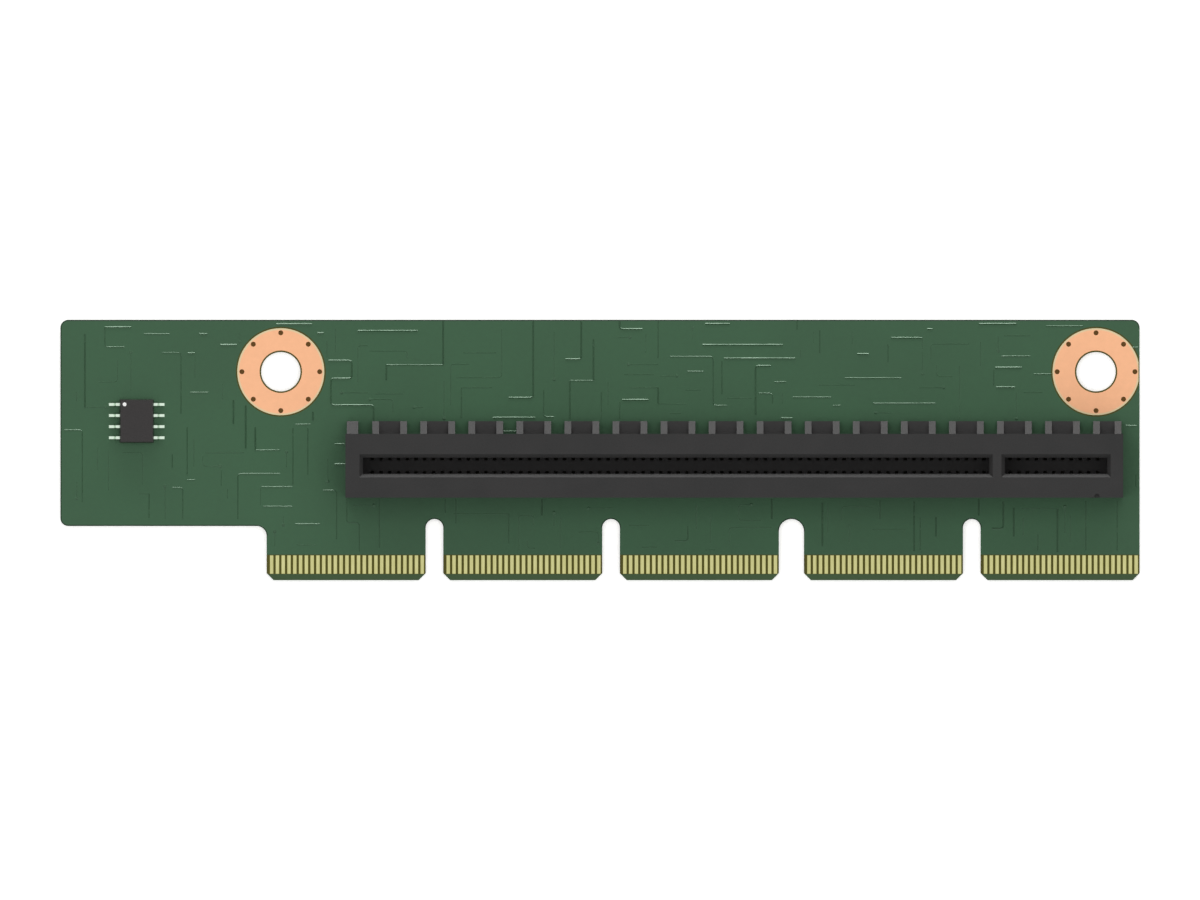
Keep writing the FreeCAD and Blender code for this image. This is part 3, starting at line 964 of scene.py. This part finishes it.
@dataclass
class EtchedPattern:
    """The traces and tented vias on both faces of the board."""

    board: Board
    lands: list[Land]
    housing: Zone
    chip: list[Zone]
    finish: Finish = MaskOverTrace()
    front_filler: tuple[int, int, float] = (11, 1500, 5.0)  # the router's seed, tries and longest run
    back_filler: tuple[int, int, float] = (29, 2600, 9.0)
    wing: Zone = Zone(0.7, 6.9, 24.0, 29.1)
    main_strip: Zone = Zone(24.0, 8.0, 122.7, 29.1)
    tab_count: int = 5
    tab_inset: float = 0.2
    above_contacts: float = 0.5
    tab_top: float = 9.2
    land_room: float = 0.3
    peg_insets: tuple[float, float] = (1.45, 74.57)  # from the housing's left end
    peg_line: float = 3.65  # above the housing's lower side
    peg_room: float = 1.3
    via_foot: float = 0.24
    via_crest: float = 0.1
    via_height: float = 0.04
    routes_per_via: int = 3
    routes_per_proud: int = 4  # on the back
    sunk: float = 0.01

    def fields(self) -> list[Zone]:
        """Finds the open parts of a face.

        Returns:
            The wing, the main strip and each tab above its contacts.
        """
        contacts = [self.board.zone_of(f"edge_contacts_front_{i + 1}") for i in range(self.tab_count)]
        tabs = [Zone(c.left + self.tab_inset, c.high + self.above_contacts,
                     c.right - self.tab_inset, self.tab_top) for c in contacts]
        return [self.wing, self.main_strip] + tabs

    def blocked(self) -> list[Zone]:
        """Gives what traces stay off on both faces: the copper lands."""
        return [zone for land in self.lands for zone in land.zones(self.land_room)]

    def pegs(self) -> list[Zone]:
        """Gives squares round the housing's two locating pegs, whose ends show on the back."""
        r, up = self.peg_room, self.housing.low + self.peg_line
        return [Zone(self.housing.left + inset - r, up - r, self.housing.left + inset + r, up + r)
                for inset in self.peg_insets]

    def add_traces(self, face: Face, relief: Relief, traces: list[Route]) -> None:
        """Sweeps one relief's ridges along chains of edges that run half a ridge's height above the face.

        Args:
            face: the face they lie on.
            relief: their section.
            traces: their routes.
        """
        lift = relief.value[2] / 2.0 - self.sunk
        points, edges = [], []
        for trace in traces:
            start = len(points)
            points += [self.board.point(a, u, face, lift) for a, u in trace.corners()]
            edges += [(i, i + 1) for i in range(start, len(points) - 1)]
        name = f"{relief.name.lower()}_traces_{face.value}"
        ridges = RidgeTool(relief, face, self.finish).run(name, seed_mesh(name, points, edges))
        hand_in(ridges)

    def add_vias(self, face: Face, traces: list[Route]) -> None:
        """Puts tented vias at the far ends of some of the routes.

        Args:
            face: the face they stand on.
            traces: the routes to choose from.
        """
        lift = -self.sunk if face is Face.FRONT else self.via_height - self.sunk
        ends = [trace.corners()[-1] for trace in traces[::self.routes_per_via]]
        points = [self.board.point(a, u, face, lift) for a, u in ends]
        tool = StudTool(self.via_foot, self.via_crest, self.via_height, face, self.finish)
        tool.stand(f"tented_vias_{face.value}", points)

    def build(self) -> None:
        """Lays out both faces and builds their traces and vias."""
        taken = self.blocked() + [self.housing] + self.chip
        for route in PROUD_ROUTES + MILD_ROUTES + LOW_ROUTES:
            taken += route.zones()
        low = LOW_ROUTES + Router(self.fields(), taken).scatter(*self.front_filler)
        self.add_traces(Face.FRONT, Relief.PROUD, PROUD_ROUTES)
        self.add_traces(Face.FRONT, Relief.MILD, MILD_ROUTES)
        self.add_traces(Face.FRONT, Relief.LOW, low)
        self.add_vias(Face.FRONT, low)
        back = Router(self.fields(), self.blocked() + self.pegs()).scatter(*self.back_filler)
        self.add_traces(Face.BACK, Relief.PROUD, back[::self.routes_per_proud])
        self.add_traces(Face.BACK, Relief.LOW, [r for i, r in enumerate(back) if i % self.routes_per_proud])
        self.add_vias(Face.BACK, back)


@dataclass
class ViaPlugs:
    """Resin plugs in the ring of vias round each screw land: sunk in the front ones, thin caps on the back.

    A seat holds a face, how far outwards from it the plug's lower end is, and the plug's height.
    """

    board: Board
    lands: list[Land]
    count: int = 8
    ring_radius: float = 4.45
    foot: float = 0.3
    crest: float = 0.27
    seats: tuple[tuple[Face, float, float], ...] = ((Face.FRONT, -0.04, 0.03), (Face.BACK, 0.012, 0.014))

    def build(self) -> None:
        """Builds the plugs of both faces."""
        turns = [2.0 * math.pi * i / self.count for i in range(self.count)]
        spots = [(land.along + self.ring_radius * math.cos(t), land.up + self.ring_radius * math.sin(t))
                 for land in self.lands for t in turns]
        for face, lift, height in self.seats:
            points = [self.board.point(a, u, face, lift) for a, u in spots]
            StudTool(self.foot, self.crest, height, face, PLUG).stand(f"via_plugs_{face.value}", points)


@dataclass
class EdgeShadeStrip:
    """A strip of painted shade along the board's routed edge, darker than the mask beside it."""

    board: Board
    lands: list[Land]
    housing: Zone
    width: float = 0.13
    thickness: float = 0.008
    sunk: float = 0.004
    hole_room: float = 3.5  # edges nearer than this to a land's middle are its screw hole's
    least_wall: float = 0.5  # lower walls are those of bevels and mask openings
    upright: float = 0.1  # the most that an upright wall's normal leans
    least_mitre: float = 0.5  # keeps the strip's inner corner from running far out where it turns sharply
    lone_normal: float = 1.2  # a shorter sum of wall normals is that of a lone wall, at the strip's end
    same_place: float = 1e-7  # metres
    same_level: float = 1e-6  # metres

    def build(self) -> None:
        """Builds the strip on both faces."""
        for face in Face:
            hand_in(self.strip(face))

    def strip(self, face: Face) -> Object:
        """Makes one face's strip from the outline of the board's own solid.

        Args:
            face: the face that the strip lies on.

        Returns:
            The strip as a closed thin band.
        """
        outline = bmesh.new()
        outline.from_mesh(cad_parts["circuit_board"].data)
        bmesh.ops.remove_doubles(outline, verts=outline.verts, dist=self.same_place)
        level = metres(self.board.high.z if face is Face.FRONT else self.board.low.z)
        walls = {edge: wall for edge in outline.edges if (wall := self.cut_wall(edge, level))}
        inward: dict[bmesh.types.BMVert, Vector] = {}
        for edge, wall in walls.items():
            for corner in edge.verts:
                inward[corner] = inward.get(corner, Vector()) - wall.normal
        outwards = 1.0 if face is Face.FRONT else -1.0
        lifts = [Vector((0.0, 0.0, outwards * metres(z))) for z in (-self.sunk, self.thickness - self.sunk)]
        band, made = bmesh.new(), {}
        for corner, away in inward.items():
            mitre = max(away.length / 2.0, self.least_mitre) if away.length > self.lone_normal else 1.0
            reach = away.normalized() * metres(self.width) / mitre
            made[corner] = [band.verts.new(corner.co + shift + lift)
                            for shift in (Vector(), reach) for lift in lifts]
        for edge in walls:
            a, b = (made[corner] for corner in edge.verts)
            for i, j in ((0, 1), (1, 3), (3, 2), (2, 0)):
                band.faces.new((a[i], a[j], b[j], b[i]))
        bmesh.ops.recalc_face_normals(band, faces=band.faces)
        mesh = bpy.data.meshes.new(f"routed_rim_{face.value}")
        band.to_mesh(mesh)
        outline.free()
        band.free()
        # Painted shade: the band wears a darker green than the mask beside it.
        mesh.materials.append(EDGE_SHADE_COAT.material())
        return new_piece(mesh.name, mesh)

    def cut_wall(self, edge: bmesh.types.BMEdge, level: float) -> bmesh.types.BMFace | None:
        """Finds the outer cut wall that meets a face along an edge.

        Args:
            edge: an edge of the board's solid.
            level: the face's height, in metres.

        Returns:
            The wall's face, or None for any other edge.
        """
        if any(abs(corner.co.z - level) > self.same_level for corner in edge.verts):
            return None
        middle = (edge.verts[0].co + edge.verts[1].co) * MM_PER_METRE / 2.0
        along, up = middle.x - self.board.low.x, middle.y - self.board.low.y
        in_hole = any(math.hypot(along - land.along, up - land.up) < self.hole_room for land in self.lands)
        if in_hole or self.housing.near(Zone(along, up, along, up)):
            return None
        for wall in edge.link_faces:
            heights = [corner.co.z for corner in wall.verts]
            if abs(wall.normal.z) < self.upright and max(heights) - min(heights) > metres(self.least_wall):
                return wall
        return None


@dataclass
class FirstLeadDot:
    """The printed dot by the chip's first lead.

    Its profile holds rings from the chip's top outwards: each one's share of the radius, and its lift.
    """

    radius: float = 0.22
    inset: float = 0.56
    profile: tuple[tuple[float, float], ...] = ((1.0, -0.003), (1.0, 0.004), (0.9, 0.009), (0.5, 0.012))
    sides: int = 20

    def build(self) -> None:
        """Builds the dot as a low closed dome."""
        low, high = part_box("sensor_body")
        middle = Vector((low.x + metres(self.inset), high.y - metres(self.inset), high.z))
        turns = [2.0 * math.pi * i / self.sides for i in range(self.sides)]
        dot = bmesh.new()
        rings = [[dot.verts.new(middle + Vector((metres(self.radius * share * math.cos(t)),
                                                 metres(self.radius * share * math.sin(t)),
                                                 metres(lift)))) for t in turns]
                 for share, lift in self.profile]
        for lower, upper in zip(rings, rings[1:]):
            for i in range(self.sides):
                after = (i + 1) % self.sides
                dot.faces.new((lower[i], lower[after], upper[after], upper[i]))
        dot.faces.new(rings[-1])
        dot.faces.new(rings[0][::-1])
        mesh = bpy.data.meshes.new("first_lead_dot")
        dot.to_mesh(mesh)
        dot.free()
        mesh.materials.append(INK.material())
        hand_in(new_piece("first_lead_dot", mesh))


@dataclass
class Solids:
    """The finishes of the frame's own solids."""

    board: Board
    lands: dict[str, Land]

    def dress(self) -> None:
        """Puts each node's finish on it."""
        SolderMask().wear("circuit_board")
        MouldedPolymer().wear("slot_housing")
        EPOXY.wear("sensor_body")
        LEAD_TIN.on("sensor_leads", "both_sides").wear("sensor_leads")
        LAND_TIN.on("sensor_lands", "both_sides").wear("sensor_lands")
        for side, land in self.lands.items():
            middle = self.board.point(land.along, land.up) * MM_PER_METRE
            copper = CopperLand(f"coated_copper_{side}", middle.x, middle.y)
            for face in Face:
                copper.wear(f"mount_pad_{side}_{face.value}")
        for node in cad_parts:
            if node.startswith("slot_contacts"):
                SPRING_IN_PAINTED_SHADE.wear(node)
            if node.startswith("edge_contacts"):
                GOLD.on(node, f"tab_{node[-1]}").wear(node)
        log.info("finishes on %d nodes", len(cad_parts))


# ---- the studio ----


@dataclass(frozen=True)
class Lamp:
    """A rectangular lamp that hangs in the plane X = 0 and faces the card, in metres.

    Its radiance is how bright its face is, where 1 is white.
    """

    name: str
    y: float
    z: float
    width: float
    height: float
    radiance: float
    mirrored: bool

    def hang(self) -> None:
        """Puts the lamp in the scene, hidden from the camera and, unless it is mirrored, from reflections."""
        light = bpy.data.lights.new(self.name, "AREA")
        light.shape = "RECTANGLE"
        light.size, light.size_y = self.width, self.height
        light.energy = self.radiance * math.pi * self.width * self.height
        holder = bpy.data.objects.new(self.name, light)
        holder.location = (0.0, self.y, self.z)
        holder.rotation_mode = "QUATERNION"
        holder.rotation_quaternion = Vector((0.0, self.y, self.z)).to_track_quat("Z", "Y")
        holder.visible_camera = False
        holder.visible_glossy = self.mirrored
        bpy.context.scene.collection.objects.link(holder)


@dataclass
class Studio:
    """A pale table, soft light from above, low panels behind and before the card, and a camera above it."""

    view_width: float = 137.33
    camera_height: float = 300.0
    clip: tuple[float, float] = (0.01, 5.0)  # metres
    floor_gap: float = 0.08
    floor_half: float = 3.0  # metres
    white: str = "#FFFFFF"
    sky: float = 0.32
    sky_tilt: float = 0.2  # how much brighter than its mean the sky is behind the card, and darker before it
    horizon: float = 0.25  # what reflections show low down, where 1 is white
    arch_from: float = 0.1  # sines of the elevations between which it turns white
    arch_to: float = 0.75
    lamps: tuple[Lamp, ...] = (
        Lamp("overhead_softbox", y=0.0, z=0.9, width=0.5, height=0.5, radiance=5.3, mirrored=False),
        Lamp("low_back_panel", y=0.8, z=0.14, width=1.2, height=0.14, radiance=12.0, mirrored=True),
        Lamp("low_front_panel", y=-0.8, z=0.14, width=1.2, height=0.14, radiance=1.0, mirrored=True))

    def add_floor(self) -> None:
        """Lays the table just under the board's back."""
        half, z = self.floor_half, CAD_BOX[0].z - metres(self.floor_gap)
        mesh = bpy.data.meshes.new("table")
        mesh.from_pydata([(-half, -half, z), (half, -half, z), (half, half, z), (-half, half, z)], [],
                         [(0, 1, 2, 3)])
        mesh.materials.append(PaleFloor().material())
        new_piece("table", mesh)

    def add_sky(self) -> None:
        """Makes the surround: soft on the card, white where it is seen, greyer low down in reflections."""
        world = bpy.data.worlds.new("soft_surround")
        bpy.context.scene.world = world
        world.use_nodes = True
        tree = world.node_tree
        tree.nodes.clear()
        way = add_node(tree, "ShaderNodeTexCoord").outputs["Generated"]
        parts = add_node(tree, "ShaderNodeSeparateXYZ", {"Vector": way})
        soft = add_node(tree, "ShaderNodeMapRange", {
            "Value": parts.outputs["Y"], "From Min": -1.0, "From Max": 1.0,
            "To Min": self.sky * (1.0 - self.sky_tilt), "To Max": self.sky * (1.0 + self.sky_tilt)})
        arch = add_node(tree, "ShaderNodeMapRange", {
            "Value": parts.outputs["Z"], "From Min": self.arch_from, "From Max": self.arch_to,
            "To Min": self.horizon})
        ray = add_node(tree, "ShaderNodeLightPath")
        seen = add_node(tree, "ShaderNodeMath", {
            0: ray.outputs["Is Camera Ray"], 1: ray.outputs["Is Transmission Ray"]}, operation="MAXIMUM")
        mirrored = add_node(tree, "ShaderNodeMix", {
            0: ray.outputs["Is Glossy Ray"], 2: soft.outputs["Result"], 3: arch.outputs["Result"]})
        level = add_node(tree, "ShaderNodeMix", {0: seen.outputs[0], 2: mirrored.outputs[0], 3: 1.0})
        surround = add_node(tree, "ShaderNodeBackground", {
            "Color": srgb(self.white), "Strength": level.outputs[0]})
        add_node(tree, "ShaderNodeOutputWorld", {"Surface": surround.outputs[0]})

    def add_camera(self) -> None:
        """Sets a parallel-view camera straight above the board's middle, its top towards +Y."""
        lens = bpy.data.cameras.new("overhead_camera")
        lens.type = "ORTHO"
        lens.ortho_scale = metres(self.view_width)
        lens.clip_start, lens.clip_end = self.clip
        camera = bpy.data.objects.new("overhead_camera", lens)
        camera.location = (0.0, 0.0, metres(self.camera_height))
        bpy.context.scene.collection.objects.link(camera)
        bpy.context.scene.camera = camera

    def build(self) -> None:
        """Builds the floor, the light and the camera."""
        bpy.context.scene.view_settings.view_transform = "Standard"
        self.add_floor()
        self.add_sky()
        for lamp in self.lamps:
            lamp.hang()
        self.add_camera()


def main() -> None:
    """Builds the looks in order: studio, finishes, etched pattern, plugs, painted edge shade and the chip's
    dot.
    """
    logging.basicConfig(level=logging.INFO, format="%(name)s: %(message)s")
    Studio().build()
    board = Board.from_frame()
    by_side = {side: Land.from_frame(board, f"mount_pad_{side}_front") for side in ("left", "right")}
    lands = list(by_side.values())
    housing = board.zone_of("slot_housing")
    chip = [board.zone_of("sensor_lands", margin=0.4), board.zone_of("sensor_body", margin=0.3)]
    Solids(board, by_side).dress()
    EtchedPattern(board, lands, housing, chip).build()
    ViaPlugs(board, lands).build()
    EdgeShadeStrip(board, lands, housing).build()
    FirstLeadDot().build()


if __name__ == "__main__":
    main()
